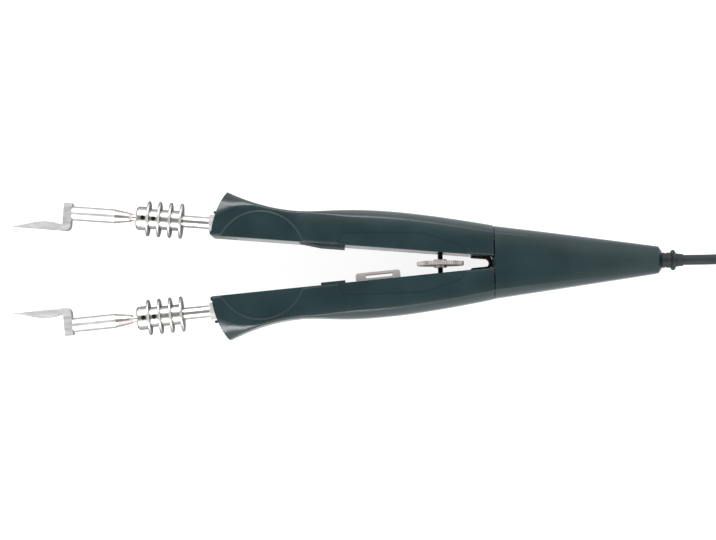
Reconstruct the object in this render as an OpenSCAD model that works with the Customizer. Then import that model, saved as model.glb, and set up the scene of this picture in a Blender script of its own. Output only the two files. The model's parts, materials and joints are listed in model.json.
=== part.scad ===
// Soldering tweezers: two hinged arms with heated tips, a rear housing and a cord with a plug.
// The hinge pin is the Z axis, the tips point along -X, the cord leaves along +X, and Z = 0 is
// the surface that the tool lies on. "d" is a distance from the hinge towards the tips.

/* [Handle] */
// Height of the arms and of the front of the rear housing
handle_h = 18; // [17:0.5:20]
// Angle of each arm from the centre plane at rest
open_angle = 5; // [4:0.25:6]
// Half of the gap between the arms' inner faces when the tips meet
gap_half = 1.75; // [1.65:0.05:2]
// Hinge pin to the inner corner of an arm's nose
arm_l = 101; // [98:0.5:106]
// Outer half-width of an arm at the hinge
root_w = 12.2; // [11.6:0.1:13]
// Outer half-width of an arm at its belly
belly_w = 14.8; // [14:0.1:16]
// Hinge pin to the belly
belly_d = 38; // [34:1:42]
// Outer half-width of an arm at its waist
waist_w = 12.4; // [12:0.1:13]
// Hinge pin to the waist
waist_d = 72; // [68:1:76]
// Outer half-width of an arm at the lip of its nose
lip_w = 17.3; // [16:0.1:18.5]
// How far the lip lies behind the nose's inner corner
lip_back = 4.4; // [3:0.1:6]
// Forward bulge of the nose's front face
nose_bulge = 1.2; // [0.6:0.1:2]
// Width of the rounded outer bevel, seen from above
bevel_w = 3; // [2:0.1:3.5]
// Height of the rounded outer bevel
bevel_h = 4.5; // [3:0.1:5]
// Radius of the arms' inner edges
edge_r = 0.8; // [0.4:0.1:1.2]
// Wall of the arms and of the rear housing
wall = 2.2; // [1.8:0.1:2.4]
// Thickness of an arm's inner cover
cover_t = 1.6; // [1.2:0.1:1.8]
// Height of the closing pads on the inner covers
pad_h = 0.9; // [0.4:0.1:1.2]
// Depth of the finger dish in an arm's nose
dish_depth = 0.5; // [0.3:0.1:0.7]
// Radius of the finger dish's rim
dish_r = 15.2; // [14:0.2:17]
// Depth of the panel along an arm's inner edge
step_depth = 0.35; // [0.2:0.05:0.6]

/* [Rear housing] */
// Hinge pin to the seam between the arms and the housing
seam_d = 2.5; // [2:0.1:3]
// Gap at the seam
seam_gap = 0.4; // [0.3:0.1:0.8]
// Length of the housing behind the seam
housing_l = 58.4; // [56:0.2:64]
// Half-width of the housing at the seam
housing_w = 12.6; // [12:0.1:13.4]
// Half-width of the housing at its rear end
tail_w = 4.5; // [4.4:0.1:6]
// Height of the housing at its rear end
tail_h = 10.4; // [10:0.2:13]
// Length of the housing's flat underside behind the hinge pin
flat_l = 12; // [8:1:16]

/* [Hinge] */
// Diameter of the hinge pin
pin_d = 2.5; // [2:0.1:3]
// Radius of the hinge knuckles
knuckle_r = 3; // [2.6:0.1:3.2]
// Height of one hinge lug
lug_h = 2.6; // [2:0.1:2.8]
// Axial gap between hinge lugs
lug_gap = 0.3; // [0.2:0.05:0.5]
// Radial running clearance of pins and shafts
run_gap = 0.05; // [0.02:0.01:0.08]
// Clearance between pieces that are fixed together
fix_gap = 0.02; // [0.01:0.01:0.05]
// Thickness of the spreader spring
spring_t = 0.5; // [0.3:0.1:0.6]
// Inner radius of the spreader spring's bend
spring_r = 1.5; // [1.2:0.1:1.6]
// Length of the spreader spring's legs
spring_leg = 5; // [3:0.5:5]

/* [Heated heads] */
// Distance of a head's axis from the centre plane when the tips meet
head_y = 6.5; // [6.4:0.1:7]
// Outer diameter of the heater tube
tube_d = 4.2; // [3.8:0.1:4.6]
// Inner diameter of the heater tube
tube_bore = 3.2; // [2.8:0.1:3.4]
// Outer diameter of the insulating bush
bush_d = 6; // [5.6:0.1:6.2]
// Length of the bush in front of the nose
bush_out = 2.2; // [1:0.1:3]
// Inner corner of the nose to the rear fin of the cooling sleeve
fin_gap = 11.4; // [10:0.1:13]
// Distance between fins
fin_pitch = 3.83; // [3.4:0.01:4]
// Number of fins
fin_n = 4; // [3:1:4]
// Diameter of the fins
fin_dia = 12.4; // [11:0.1:12.6]
// Thickness of a fin
fin_t = 1; // [0.8:0.1:1.4]
// Diameter of the cooling sleeve between its fins
sleeve_d = 7; // [6.6:0.1:7.6]
// Diameter of the cooling sleeve's front collar
collar_d = 8.2; // [7.8:0.1:8.6]
// Length of the cooling sleeve in front of its first fin
collar_l = 4.2; // [3.4:0.1:5]
// Length of bare heating rod between the sleeve and the ferrule
neck_l = 1.5; // [1:0.1:2.5]
// Diameter of the heating rod
rod_d = 2.3; // [2:0.1:2.6]
// Length of the ferrule
ferrule_l = 6; // [5:0.1:7]
// Diameter of the tip's sleeve
tip_d = 5; // [4.6:0.1:5.4]
// Length of the tip's sleeve
tip_l = 15.1; // [13:0.1:17]
// Thickness of the tip's leg, along the arm
leg_t = 2.9; // [2.4:0.1:3.2]
// Width of the tip's blade at the leg, seen from above
blade_w = 2.8; // [2.2:0.1:3.2]
// Length of the blade in front of the leg
blade_l = 17.6; // [15:0.2:20]
// Height of the blade at the leg
blade_h = 3.2; // [2.4:0.1:3.6]

/* [Opening adjuster] */
// Hinge pin to the adjuster's spindle
adjuster_d = 20.9; // [20:0.1:22]
// Diameter of the thumb wheel
wheel_d = 16.4; // [14:0.1:17]
// Thickness of the thumb wheel
wheel_t = 1.4; // [1:0.1:2]
// Number of ridges round the thumb wheel
wheel_n = 60; // [40:1:72]
// Diameter of the spindle
spindle_d = 2; // [1.6:0.1:2.2]
// Diameter of the stop nuts inside the arms
nut_d = 5; // [4.6:0.1:5.2]
// Thickness of a stop nut
nut_t = 2; // [1.6:0.1:2.4]
// Gap between a stop nut and the cover that it stops, at rest
nut_gap = 0.5; // [0.45:0.05:0.8]

/* [Lock slide] */
// Hinge pin to the rear end of the slide
slide_d = 35.2; // [34:0.2:36]
// Length of the slide
slide_l = 15.6; // [14:0.2:15.8]
// Height of the slide above the inner cover
slide_h = 2.9; // [2.4:0.1:3]
// Width of the slide
slide_w = 7.2; // [6:0.2:8]
// Thickness of the slide's metal
slide_t = 0.8; // [0.6:0.1:0.9]
// Travel of the slide towards the tips
slide_travel = 3.4; // [2:0.1:3.4]

/* [Cord] */
// Diameter of the cord
cord_d = 3.6; // [3.2:0.1:3.8]
// Radius of the coil at the middle of its turns
coil_r = 21; // [20:0.5:22]
// Columns of turns in the coil
coil_columns = 2; // [2:1:2]
// Layers of turns in the coil
coil_layers = 4; // [4:1:4]
// Diameter of the plug's barrel
plug_d = 16; // [15:0.5:16]
// Length of the plug's barrel
plug_l = 24; // [20:0.5:30]
// Outer diameter of the plug's metal shell
shell_d = 13.2; // [13:0.1:13.4]
// Length of the plug's metal shell
shell_l = 9.5; // [8:0.5:11]

/* [Hidden] */

$fn = 48;
mid_z = handle_h / 2;
far = 200;

// Places along an arm
lip_d = arm_l - lip_back;
rear_wall_d = 8;
nose_l = 13;
front_wall_d = arm_l - nose_l;
cover_rear_d = 6.6;
cover_front_d = front_wall_d + 4.6;
tube_rear_d = front_wall_d - 4;
nose_pin_in = 4;
nose_pin_out = 1.6;
lead_bend_l = 14;
pad_rear_d = 54.5;
pad_l = 8.5;
pad_ramp_l = 7;
dish_d = arm_l - 17.5;
dish_y = -4;
bead_r = 0.9;
panel_rear_d = 12;
panel_wide_d = 27.5;
panel_bend_d = 53.9;
panel_front_d = 57;
panel_y = gap_half + 6.3;

// Exponents of the outline's curves between the hinge, the belly and the waist
root_bend = 1.5;
shoulder_bend = 1.6;
// The bevel fades to a share of itself between two places, and grows again towards the lip
bevel_bend = 1.5;
fade_from_d = 50;
fade_to_d = 70;
fade_share = 0.25;
lip_from_d = arm_l - 16;
lip_wide = 1.6;
lip_high = 0.6;

// Heights of the cavity and of the cover's seat in an arm
ledge = 1;
seat_z = wall;
cavity_z = seat_z + ledge;

// Heated head
fin_d0 = arm_l + fin_gap;
sleeve_rear_d = fin_d0 - fin_t / 2;
fin_d1 = fin_d0 + (fin_n - 1) * fin_pitch;
sleeve_front_d = fin_d1 + collar_l;
sleeve_wall = 1.6;
tube_front_d = sleeve_front_d - sleeve_wall;
ferrule_d0 = sleeve_front_d + neck_l;
tip_d0 = ferrule_d0 + ferrule_l;
leg_d0 = tip_d0 + tip_l;
leg_d1 = leg_d0 + leg_t;
rod_d0 = tube_front_d - 8;
rod_d1 = leg_d0 - 3;
leg_over = 0.9;
blade_y = 0.25;
set_screw_d = 1.6;
nose_pin_d = 1;
nose_pin_y = head_y + bush_d / 2 + nose_pin_d / 2 + 0.4;

// Hinge levels: the left arm's single lug is at mid-height, between the right arm's two
left_lugs = [mid_z - lug_h / 2];
right_lugs = [mid_z - lug_h * 1.5 - lug_gap, mid_z + lug_h / 2 + lug_gap];
leaf_z0 = right_lugs[0];
leaf_z1 = right_lugs[1] + lug_h;
leaf_y0 = gap_half + cover_t + 0.25;
leaf_w = 3.4;
leaf_y1 = leaf_y0 + leaf_w;
leaf_flange = 1.4;
boss_gap = 0.3;
pin_seat = 2.4;

// Rear housing
housing_x0 = -seam_d + seam_gap / 2;
housing_x1 = housing_x0 + housing_l;
tail_round = 1.2;
tail_lift = (handle_h - tail_h) / 2;
lift_bend = 1.4;
skim = 0.2;
bay_x1 = 30;
neck_x1 = 46;
bay_z = 3.4;
neck_z = 4.6;
screw_x = 8;
screw_y = 6.4;
screw_boss_r = 2.4;
screw_d = 2.2;
screw_head_d = 3.8;
screw_head_h = 1.6;
screw_top_z = 13.5;

// Cord entry
grommet_flange_r = 3.2;
grommet_flange_x = housing_x1 - 5;
grommet_flange_t = 2;
grommet_neck_r = 2.45;
grommet_ring_r = 2.7;
grommet_collar_r = 3.6;
grommet_out = 7.9;
cord_exit_x = housing_x1 + grommet_out;
cord_start_x = 33;
clamp_x = 39;
clamp_l = 4;
clamp_h = 2.6;
clamp_y = 3.1;
clamp_screw_d = 1.4;
board_x = 14;
board_l = 13;
board_w = 9;
board_t = 1.2;
board_z = 8.2;
wire_d = 1;
wire_z = mid_z + 3.9;
wire_ys = [8.3, 9.5];
wire_room = 0.7;
wire_rise = 1;

// Route of the cord on the surface, and of its tail from the coil to the plug
coil_x = 140;
coil_out_r = coil_r + coil_columns * cord_d / 2;
turn_out_r = coil_out_r - cord_d / 2;
coil_h = coil_layers * cord_d;
cord_route = [
    [cord_exit_x, 0, mid_z], [68, 0, 9], [73, 0, 8.9], [78, 0.2, 8.5], [83, 0.8, 7.8], [88, 2, 6.8], [94, 4.2, 5.5],
    [100, 7.4, 4.2], [106, 11, 3.2], [112, 14.7, 2.4], [118, 18, 2], [124, 20.6, 1.8], [130, 22.2, 1.8],
    [136, 22.8, 1.8]
];
tail_route = [
    [140, 22.8, 12.6], [144, 22.9, 12.4], [148, 23.3, 11.8], [152, 24, 10.8], [156, 24.8, 9.7],
    [160, 25.6, 8.6], [164, 26, 8], [168, 26, 8]
];
plug_start = tail_route[len(tail_route) - 1];
relief_l = 14;
shell_in = 4;
plug_shoulder = 9;
shell_neck_d = shell_d - 0.6;
shell_bore = shell_d - 1.4;

// Outlines

// Eases from 0 to 1 with a level start and end
function ease(t) = (1 - cos(180 * t)) / 2;

// Points of a quarter of an ellipse, or of a flatter curve for a bend below 2
function flatter(v, bend) = sign(v) * pow(abs(v), 2 / bend);
function corner(c, rx, ry, a0, n, bend = 2) = [
    for (i = [0:n])
        let (a = a0 + 90 * i / n)
        c + [rx * flatter(cos(a), bend), ry * flatter(sin(a), bend)]
];

// Outer half-width of an arm at distance d
function arm_outer(d) =
    d < belly_d ? belly_w - (belly_w - root_w) * pow((belly_d - d) / belly_d, root_bend)
    : d < waist_d ? belly_w - (belly_w - waist_w) * ease(pow((d - belly_d) / (waist_d - belly_d), shoulder_bend))
    : waist_w + (lip_w - waist_w) * pow((d - waist_d) / (lip_d - waist_d), 2);

// Share of the bevel that is left at distance d, and its share at the lip
function bevel_share(d, at_lip) =
    d < fade_from_d ? 1
    : d < fade_to_d ? 1 - (1 - fade_share) * ease((d - fade_from_d) / (fade_to_d - fade_from_d))
    : d < lip_from_d ? fade_share
    : fade_share + (at_lip - fade_share) * ease(min(1, (d - lip_from_d) / (lip_d - lip_from_d)));

// Cross-section of an arm, as [y, z]
function arm_section(d) =
    let (
        y1 = arm_outer(d),
        w = bevel_w * bevel_share(d, lip_wide),
        h = bevel_h * bevel_share(d, lip_high),
        y0 = gap_half + edge_r
    )
    concat(
        corner([y0, edge_r], edge_r, edge_r, 180, 3),
        corner([y1 - w, h], w, h, 270, 6, bevel_bend),
        corner([y1 - w, handle_h - h], w, h, 0, 6, bevel_bend),
        corner([y0, handle_h - edge_r], edge_r, edge_r, 90, 3)
    );

// Half-width of the rear housing, and how far its underside has risen, at x
function housing_half(x) = housing_w - (housing_w - tail_w) * (x - housing_x0) / housing_l;
function housing_lift(x) = x < flat_l ? 0 : tail_lift * pow((x - flat_l) / (housing_x1 - flat_l), lift_bend);

// Cross-section of the rear housing, as [y, z], drawn in by "inset"
function housing_section(x, inset = 0) =
    let (
        y = housing_half(x) - inset,
        z0 = housing_lift(x) - skim + inset,
        z1 = handle_h - housing_lift(x) - inset,
        share = housing_half(x) / housing_w,
        w = bevel_w * share,
        h = bevel_h * share
    )
    concat(
        corner([-y + w, z0 + h], w, h, 180, 6, bevel_bend),
        corner([y - w, z0 + h], w, h, 270, 6, bevel_bend),
        corner([y - w, z1 - h], w, h, 0, 6, bevel_bend),
        corner([-y + w, z1 - h], w, h, 90, 6, bevel_bend)
    );

// Shared shapes

// Solid through a row of equal rings of points
module skin(rings) {
    n = len(rings[0]);
    last = len(rings) - 1;
    points = [for (ring = rings) each ring];
    sides = [
        for (r = [0:last - 1])
            for (i = [0:n - 1])
                let (a = r * n + i, b = r * n + (i + 1) % n)
                each [[a, b, a + n], [b, b + n, a + n]]
    ];
    polyhedron(points, concat([[for (i = [n - 1:-1:0]) i]], sides, [[for (i = [0:n - 1]) last * n + i]]));
}

// Tube swept along a route, each ring square to the route
module swept(route, dia) {
    last = len(route) - 1;
    skin([
        for (i = [0:last])
            let (
                v = route[min(i + 1, last)] - route[max(i - 1, 0)],
                t = v / norm(v),
                side = [-t[1], t[0], 0] / norm([t[0], t[1]]),
                up = cross(t, side)
            )
            [for (k = [0:7]) route[i] + dia / 2 * (side * cos(45 * k) - up * sin(45 * k))]
    ]);
}

// Places its children, modelled on the right arm with the tips together, at rest
module right_side() rotate([0, 0, -open_angle]) children();
module left_side() mirror([0, 1, 0]) right_side() children();

// Places a solid of revolution on a head's axis, with its own Z as the distance d
module head_axis() translate([0, head_y, mid_z]) rotate([0, -90, 0]) children();

// Arms

// Everything in front of the bulging front face of the nose
module nose_cut() {
    chord = [lip_back, lip_w - gap_half];
    half = norm(chord) / 2;
    r = (half * half + nose_bulge * nose_bulge) / (2 * nose_bulge);
    back = [chord[1], -chord[0]] / norm(chord);
    centre = [-arm_l, gap_half] + chord / 2 + back * (r - nose_bulge);
    difference() {
        translate([-arm_l - 2 * lip_back, -lip_w, -1]) cube([4 * lip_back, 3 * lip_w, handle_h + 2]);
        translate([centre[0], centre[1], -2]) cylinder(h = handle_h + 4, r = r, $fn = 96);
    }
}

// Shallow round finger rest with a bevelled rim, cut into the top and the underside of the nose
module finger_dishes()
    for (turn = [0, 180])
        translate([-dish_d, dish_y, mid_z]) rotate([turn, 0, 0])
            translate([0, 0, mid_z - dish_depth]) cylinder(h = 1, r1 = dish_r, r2 = dish_r + 1, $fn = 96);

// Low panel along the inner edge of an arm's top and underside, with one rounded corner
module edge_panels() {
    r = panel_front_d - panel_bend_d;
    outline = concat(
        [[-panel_rear_d, -edge_r], [-panel_rear_d, gap_half], [-panel_rear_d - 2.7, gap_half + 3.15]],
        [[-panel_wide_d, panel_y]],
        corner([-panel_bend_d, gap_half + 1.3], r, panel_y - 1.7 - gap_half - 1.3, 90, 8),
        [[-panel_front_d, -edge_r]]
    );
    for (z = [-1, handle_h - step_depth])
        translate([0, 0, z]) linear_extrude(1 + step_depth) polygon(outline);
}

// Hollow of an arm, open towards the centre plane
module arm_cavity() {
    steps = 16;
    span = front_wall_d - rear_wall_d;
    outer = [for (i = [0:steps]) let (d = rear_wall_d + span * i / steps) [-d, arm_outer(d) - wall]];
    translate([0, 0, cavity_z])
        linear_extrude(handle_h - 2 * cavity_z)
            polygon(concat(outer, [[-front_wall_d, gap_half - 1], [-rear_wall_d, gap_half - 1]]));
    translate([-cover_front_d - fix_gap, gap_half - 1, seat_z])
        cube([cover_front_d - cover_rear_d + 2 * fix_gap, 1 + cover_t, handle_h - 2 * seat_z]);
}

// Rolled bead at the inner corner of the nose
module nose_bead()
    translate([-arm_l + 0.3, gap_half + bead_r, edge_r]) cylinder(h = handle_h - 2 * edge_r, r = bead_r);

// One moulded arm, at rest on the right
module arm_shell() {
    right_side() nose_bead();
    steps = 24;
    lip_steps = 8;
    stations = concat(
        [for (i = [0:steps - 1]) lip_from_d * i / steps],
        [for (i = [0:lip_steps]) lip_from_d + (arm_l + 2 - lip_from_d) * i / lip_steps]
    );
    difference() {
        right_side() skin([for (d = stations) [for (p = arm_section(d)) [-d, p[0], p[1]]]]);
        translate([-seam_d - seam_gap / 2, -far / 2, -1]) cube([far, far, handle_h + 2]);
        right_side() {
            nose_cut();
            arm_cavity();
            finger_dishes();
            edge_panels();
            head_axis() translate([0, 0, front_wall_d - 1]) cylinder(h = far, d = bush_d + 2 * fix_gap);
            translate([0, nose_pin_y, mid_z])
                rotate([0, -90, 0])
                    translate([0, 0, front_wall_d + nose_pin_in]) cylinder(h = far, d = nose_pin_d + 2 * fix_gap);
            translate([-rear_wall_d - 0.5, leaf_y0 - fix_gap, leaf_z0 - fix_gap])
                cube([rear_wall_d, leaf_w + 2 * fix_gap, leaf_z1 - leaf_z0 + 2 * fix_gap]);
            translate([-rear_wall_d - 0.5, wire_ys[0] - wire_room, wire_z - wire_rise])
                cube([rear_wall_d, wire_ys[1] - wire_ys[0] + 2 * wire_room, 2 * wire_rise]);
        }
    }
}

module right_arm_shell() color("darkslategray") arm_shell();
module left_arm_shell() color("darkslategray") mirror([0, 1, 0]) arm_shell();

// Inner cover with the spindle's slot and a closing pad; a ramp leads up to the pad
module arm_cover(ramp_l) {
    slot = [spindle_d + 1.2, spindle_d + 1];
    difference() {
        union() {
            translate([-cover_front_d, gap_half, seat_z + fix_gap])
                cube([cover_front_d - cover_rear_d, cover_t, handle_h - 2 * seat_z - 2 * fix_gap]);
            translate([0, 0, seat_z + fix_gap])
                linear_extrude(handle_h - 2 * seat_z - 2 * fix_gap)
                    polygon([
                        [-pad_rear_d, gap_half + cover_t / 2],
                        [-pad_rear_d, gap_half - pad_h],
                        [-pad_rear_d - pad_l, gap_half - pad_h],
                        [-pad_rear_d - pad_l - ramp_l, gap_half],
                        [-pad_rear_d - pad_l - ramp_l, gap_half + cover_t / 2]
                    ]);
        }
        translate([-adjuster_d - 0.2 - slot[0] / 2, gap_half - 1, mid_z - slot[1] / 2])
            cube([slot[0], cover_t + 2, slot[1]]);
    }
}

module right_arm_cover() color("dimgray") right_side() arm_cover(pad_ramp_l);

// Stem of the lock slide, and the slot in the left cover that it runs in
stem_l = 4;
stem_w = 2.4;
stem_d = slide_d + 6;
slot_gap = 0.3;

module left_arm_cover() color("dimgray") left_side()
    difference() {
        arm_cover(0.01);
        translate([-stem_d - stem_l - slide_travel - slot_gap, gap_half - 1, mid_z - stem_w / 2 - slot_gap])
            cube([stem_l + slide_travel + 2 * slot_gap, cover_t + 2, stem_w + 2 * slot_gap]);
    }

// Hinge leaf: a block seated in the arm's rear wall, with lugs that reach round the pin
module hinge_leaf(lugs) {
    difference() {
        union() {
            translate([-rear_wall_d, leaf_y0, leaf_z0])
                cube([rear_wall_d - seam_d - 1.5, leaf_w, leaf_z1 - leaf_z0]);
            translate([-rear_wall_d - leaf_flange, leaf_y0, cavity_z + 0.6])
                cube([leaf_flange, leaf_w + 0.4, handle_h - 2 * cavity_z - 2 * 0.6]);
            for (z = lugs)
                translate([0, 0, z]) {
                    cylinder(h = lug_h, r = knuckle_r);
                    linear_extrude(lug_h)
                        polygon([
                            [-rear_wall_d + 1, leaf_y0], [-rear_wall_d + 1, leaf_y1], [-seam_d, leaf_y1],
                            [0, knuckle_r], [0, 0], [-seam_d, leaf_y0]
                        ]);
                }
        }
        translate([0, 0, -1]) cylinder(h = handle_h + 2, d = pin_d + 2 * run_gap);
    }
}

module right_hinge_leaf() color("gray") right_side() hinge_leaf(right_lugs);
module left_hinge_leaf() color("gray") left_side() hinge_leaf(left_lugs);

// Heated heads

module bush() color("white") head_axis()
    difference() {
        translate([0, 0, front_wall_d + 1]) cylinder(h = arm_l - front_wall_d - 1.6 + bush_out, d = bush_d);
        cylinder(h = far, d = tube_d + 2 * fix_gap);
    }

module nose_pin() color("dimgray")
    translate([0, nose_pin_y, mid_z])
        rotate([0, -90, 0])
            translate([0, 0, front_wall_d + nose_pin_in + fix_gap])
                cylinder(h = nose_l - nose_pin_in - fix_gap - 1.3 + nose_pin_out, d = nose_pin_d);

module heater_tube() color("silver") head_axis()
    translate([0, 0, tube_rear_d])
        difference() {
            cylinder(h = tube_front_d - tube_rear_d, d = tube_d);
            translate([0, 0, -1]) cylinder(h = far, d = tube_bore);
        }

// Places of the two set screws along a cooling sleeve
set_screw_ds = [fin_d1 - fin_pitch / 2, sleeve_front_d - sleeve_wall - 0.9];

// Finned sleeve that is clamped on the heater tube and carries the heating rod
module cooling_sleeve() color("silver") head_axis()
    difference() {
        rotate_extrude() {
            polygon([
                [0, sleeve_rear_d],
                [sleeve_d / 2, sleeve_rear_d],
                [sleeve_d / 2, fin_d1],
                [collar_d / 2, fin_d1],
                [collar_d / 2, sleeve_front_d - 0.6],
                [collar_d / 2 - 0.6, sleeve_front_d],
                [0, sleeve_front_d]
            ]);
            for (i = [0:fin_n - 1])
                translate([0, fin_d0 + i * fin_pitch]) {
                    translate([1, -fin_t / 2]) square([fin_dia / 2 - fin_t / 2 - 1, fin_t]);
                    translate([fin_dia / 2 - fin_t / 2, 0]) circle(d = fin_t, $fn = 16);
                }
        }
        translate([0, 0, sleeve_rear_d - 1])
            cylinder(h = tube_front_d - sleeve_rear_d + 1, d = tube_d + 2 * fix_gap);
        cylinder(h = far, d = rod_d + 2 * fix_gap);
        for (d = set_screw_ds)
            translate([0, 0, d]) rotate([0, 90, 0]) cylinder(h = far, d = set_screw_d + 2 * fix_gap);
    }

// Set screws that bear on the heater tube from above
module set_screws() color("dimgray") head_axis()
    for (d = set_screw_ds)
        translate([tube_d / 2 + fix_gap, 0, d])
            rotate([0, 90, 0])
                difference() {
                    cylinder(h = (sleeve_d - tube_d) / 2 - 0.3, d = set_screw_d);
                    translate([0, 0, 0.8]) cylinder(h = 5, d = 0.8, $fn = 6);
                }

module heating_rod() color("whitesmoke") head_axis()
    translate([0, 0, rod_d0]) cylinder(h = rod_d1 - rod_d0, d = rod_d);

module ferrule() color("rosybrown") head_axis()
    difference() {
        rotate_extrude()
            polygon([
                [0, ferrule_d0],
                [rod_d / 2 + 0.15, ferrule_d0],
                [rod_d / 2 + 0.45, ferrule_d0 + 0.7],
                [tip_d / 2 - 0.2, tip_d0 - 0.6],
                [tip_d / 2 - 0.2, tip_d0],
                [0, tip_d0]
            ]);
        cylinder(h = far, d = rod_d + 2 * fix_gap);
    }

// Bit: a bored sleeve, a leg down to the centre plane and a tapered blade
module tip() color("lightgray") {
    leg_y1 = head_y + tip_d / 2 + leg_over;
    r = 1.8;
    blade_d1 = leg_d1 + blade_l;
    difference() {
        head_axis() translate([0, 0, tip_d0]) cylinder(h = tip_l + 0.1, d = tip_d);
        head_axis() cylinder(h = rod_d1 + 0.2, d = rod_d + 2 * fix_gap);
    }
    intersection() {
        linear_extrude(handle_h)
            polygon(concat(
                [[-leg_d1, leg_y1], [-leg_d0, leg_y1]],
                [for (p = corner([-leg_d0 - r, blade_y + r], r, -r, 0, 4)) p],
                [
                    [-blade_d1, blade_y],
                    [-blade_d1, blade_y + 0.25],
                    [-leg_d1 - blade_l * 0.86, blade_y + blade_w * 0.28],
                    [-leg_d1 - blade_l * 0.67, blade_y + blade_w * 0.62],
                    [-leg_d1 - blade_l * 0.5, blade_y + blade_w * 0.9],
                    [-leg_d1 - blade_l * 0.35, blade_y + blade_w],
                    [-leg_d1 - blade_l * 0.18, blade_y + blade_w * 0.96],
                    [-leg_d1, blade_y + blade_w * 0.7]
                ]
            ));
        translate([0, far / 2, mid_z])
            rotate([90, 0, 0])
                linear_extrude(far)
                    polygon([
                        [-leg_d0 + 1, -tip_d / 2], [-leg_d0 + 1, tip_d / 2], [-leg_d1, tip_d / 2],
                        [-leg_d1 - 0.8, blade_h / 2], [-blade_d1, 0.35], [-blade_d1, -0.35],
                        [-leg_d1 - 0.8, -blade_h / 2], [-leg_d1, -tip_d / 2]
                    ]);
    }
}

// Lead wires from the heater tube to the rear wall, above the moving pieces
module leads() color("white")
    for (i = [0, 1]) {
        start_y = head_y + (i - 0.5) * 1.4;
        swept([
            [-tube_rear_d - 2, start_y, mid_z],
            [-tube_rear_d + 4, start_y, mid_z],
            [-tube_rear_d + lead_bend_l, wire_ys[i], wire_z],
            [-rear_wall_d - 2, wire_ys[i], wire_z]
        ], wire_d);
    }

module right_bush() right_side() bush();
module left_bush() left_side() bush();
module right_nose_pin() right_side() nose_pin();
module left_nose_pin() left_side() nose_pin();
module right_heater_tube() right_side() heater_tube();
module left_heater_tube() left_side() heater_tube();
module right_cooling_sleeve() right_side() cooling_sleeve();
module left_cooling_sleeve() left_side() cooling_sleeve();
module right_set_screws() right_side() set_screws();
module left_set_screws() left_side() set_screws();
module right_heating_rod() right_side() heating_rod();
module left_heating_rod() left_side() heating_rod();
module right_ferrule() right_side() ferrule();
module left_ferrule() left_side() ferrule();
module right_tip() right_side() tip();
module left_tip() left_side() tip();
module right_leads() right_side() leads();
module left_leads() left_side() leads();

// Opening adjuster, on the centre plane

module on_spindle() translate([-adjuster_d, 0, mid_z]) rotate([-90, 0, 0]) children();

// Height along the spindle at which a stop nut's inner face lies at rest
nut_y = (gap_half + cover_t + adjuster_d * sin(open_angle)) / cos(open_angle) + nut_gap;
wheel_hub_r = 2.3;
wheel_hub_t = 2.8;

module thumb_wheel() color("rosybrown") on_spindle()
    difference() {
        union() {
            translate([0, 0, -wheel_t / 2])
                linear_extrude(wheel_t)
                    polygon([
                        for (i = [0:2 * wheel_n - 1])
                            let (a = 180 * i / wheel_n, r = wheel_d / 2 - (i % 2) * 0.35)
                            [r * cos(a), r * sin(a)]
                    ]);
            translate([0, 0, -wheel_hub_t / 2]) cylinder(h = wheel_hub_t, r = wheel_hub_r);
        }
        translate([0, 0, -far / 2]) cylinder(h = far, d = spindle_d + 2 * fix_gap);
    }

module spindle() color("dimgray") on_spindle()
    translate([0, 0, -nut_y - nut_t - 0.8]) cylinder(h = 2 * (nut_y + nut_t + 0.8), d = spindle_d);

module stop_nut() color("goldenrod") on_spindle()
    translate([0, 0, nut_y])
        difference() {
            cylinder(h = nut_t, d = nut_d);
            translate([0, 0, -1]) cylinder(h = nut_t + 2, d = spindle_d + 2 * run_gap);
        }

module right_stop_nut() stop_nut();
module left_stop_nut() mirror([0, 1, 0]) stop_nut();

// Lock slide on the left arm's cover

slide_gap = 0.1;

module lock_slide() color("silver") left_side() {
    y1 = gap_half - slide_gap;
    y0 = gap_half - slide_h;
    front_leg = 3.6;
    rear_leg = 2.6;
    r = 0.9;
    translate([0, 0, mid_z - slide_w / 2])
        linear_extrude(slide_w)
            difference() {
                union() {
                    translate([-slide_d - slide_l, y0 + r]) square([slide_l, y1 - y0 - r]);
                    translate([-slide_d - slide_l + r, y0]) square([slide_l - 2 * r, y1 - y0]);
                    for (x = [-slide_d - slide_l + r, -slide_d - r])
                        translate([x, y0 + r]) circle(r);
                }
                translate([-slide_d - slide_l + front_leg, y0 + slide_t])
                    square([slide_l - front_leg - rear_leg, y1 - y0 - 2 * slide_t]);
            }
    translate([-stem_d - stem_l, y1 - slide_t / 2, mid_z - stem_w / 2])
        cube([stem_l, cover_t + slide_gap + 0.2 + slide_t / 2, stem_w]);
}

module lock_keeper() color("gray") left_side()
    translate([-stem_d - stem_l - 2, gap_half + cover_t + 0.2, mid_z - 2.8]) cube([stem_l + 4, 1, 5.6]);

// Rear housing

module housing_body() {
    steps = 12;
    span = housing_l - tail_round;
    xs = [for (i = [steps:-1:0]) housing_x0 + span * i / steps];
    skin(concat(
        [[for (p = housing_section(housing_x1, tail_round)) [housing_x1, p[0], p[1]]]],
        [for (x = xs) [for (p = housing_section(x)) [x, p[0], p[1]]]]
    ));
}

// Hollow of the housing: a wide bay behind the hinge, and a lower neck that holds the cord
module housing_cavity() {
    x0 = housing_x0 - 1;
    translate([0, 0, bay_z])
        linear_extrude(handle_h - 2 * bay_z)
            polygon([
                [x0, -housing_half(x0) + wall], [bay_x1, -housing_half(bay_x1) + wall],
                [bay_x1, housing_half(bay_x1) - wall], [x0, housing_half(x0) - wall]
            ]);
    translate([0, 0, neck_z])
        linear_extrude(handle_h - 2 * neck_z)
            polygon([
                [bay_x1 - 1, -housing_half(bay_x1) + wall], [neck_x1, -housing_half(neck_x1) + wall],
                [neck_x1, housing_half(neck_x1) - wall], [bay_x1 - 1, housing_half(bay_x1) - wall]
            ]);
}

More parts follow.
